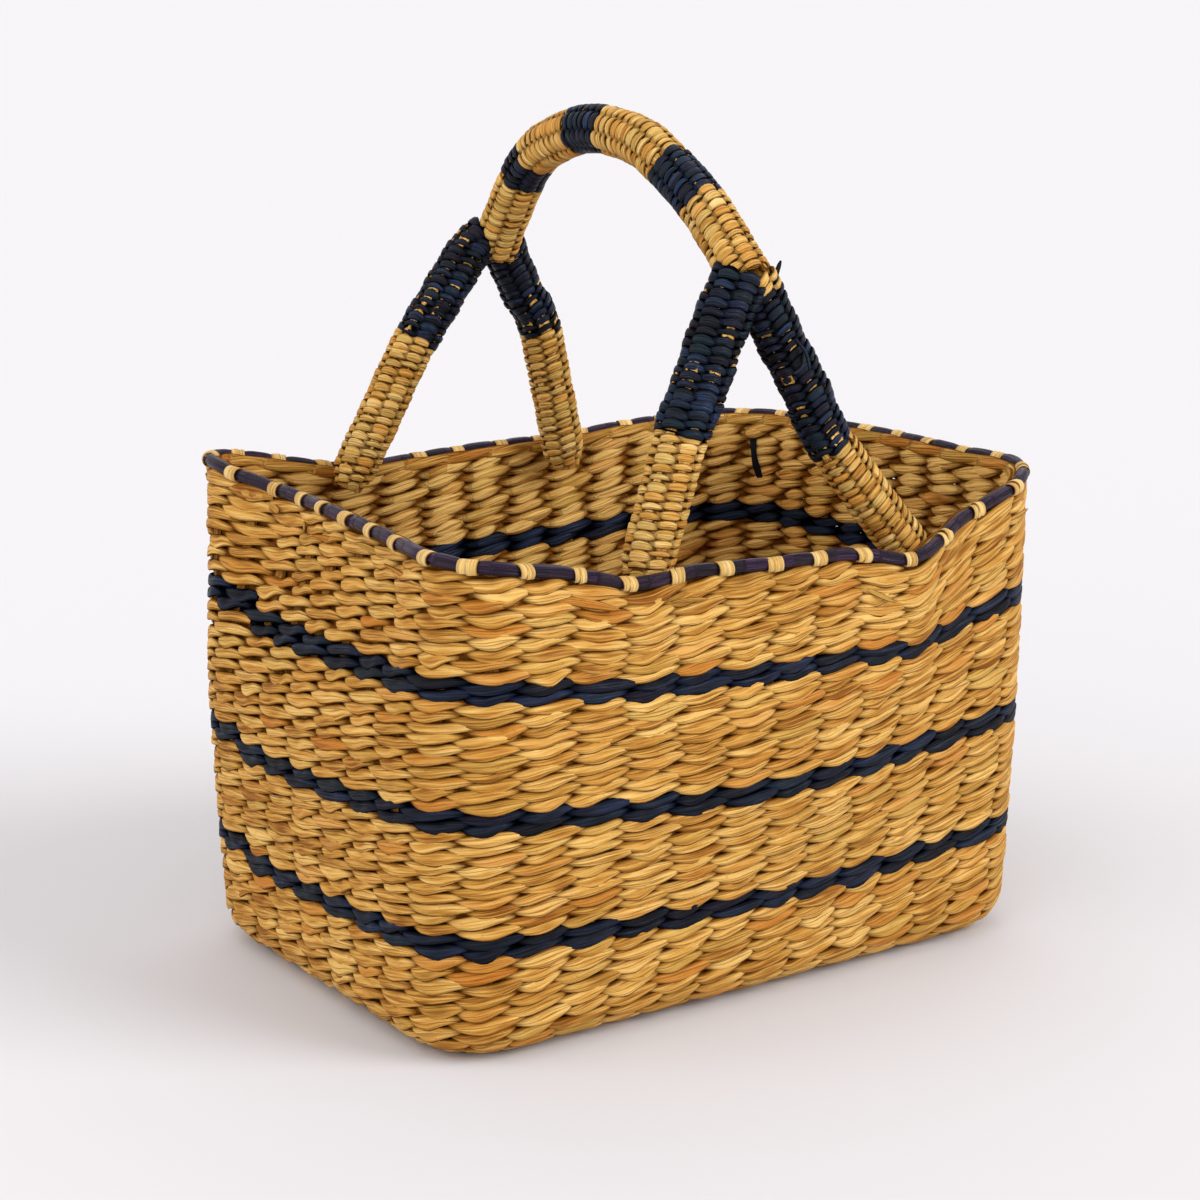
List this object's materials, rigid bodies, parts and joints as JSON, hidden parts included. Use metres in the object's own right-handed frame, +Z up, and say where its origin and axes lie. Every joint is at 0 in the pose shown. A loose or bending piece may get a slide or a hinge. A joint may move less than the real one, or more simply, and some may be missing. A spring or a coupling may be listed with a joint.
{
  "type": "woven market basket",
  "caption": "Rectangular hand-woven straw market basket with navy stripes, a lashed rim and a forked hoop handle, for carrying shopping or produce.",
  "frame": {"origin": "centre of the base, on the surface the basket stands on", "axes": "+X along the basket's length, -Y towards its front wall, +Z up through the hoop handle"},
  "size_m": [0.4088, 0.3283, 0.4691],
  "materials": {
    "straw": "dry, lightly fibrous straw with a soft sheen",
    "pale_straw": "pale flat straw",
    "navy_straw": "dyed straw, near black blue",
    "plum_roll": "dyed rush, dark plum with a soft sheen",
    "stake": "dry grass stem",
    "core": "bundled dry grass"
  },
  "bodies": {
    "root": {"base_lower_weave": "straw", "base_upper_weave": "straw", "cross_stakes": "stake", "long_stakes": "stake", "wall_band_1": "straw", "navy_stripe_1": "navy_straw", "wall_band_2": "straw", "navy_stripe_2": "navy_straw", "wall_band_3": "straw", "navy_stripe_3": "navy_straw", "wall_band_4": "straw", "rim_roll": "plum_roll", "rim_filler": "straw", "rim_lashings": "pale_straw", "inner_tail": "navy_straw", "handle_core_left": "core", "handle_core_right": "core", "grip_wrap_1": "straw", "grip_wrap_2": "navy_straw", "grip_wrap_3": "straw", "grip_wrap_4": "navy_straw", "grip_wrap_5": "straw", "grip_wrap_6": "navy_straw", "grip_wrap_7": "straw", "front_fork_binding": "navy_straw", "back_fork_binding": "navy_straw", "front_left_leg_upper_wrap": "navy_straw", "front_left_leg_lower_wrap": "straw", "front_right_leg_upper_wrap": "navy_straw", "front_right_leg_lower_wrap": "straw", "back_left_leg_upper_wrap": "navy_straw", "back_left_leg_lower_wrap": "straw", "back_right_leg_upper_wrap": "navy_straw", "back_right_leg_lower_wrap": "straw"}
  },
  "joints": []
}
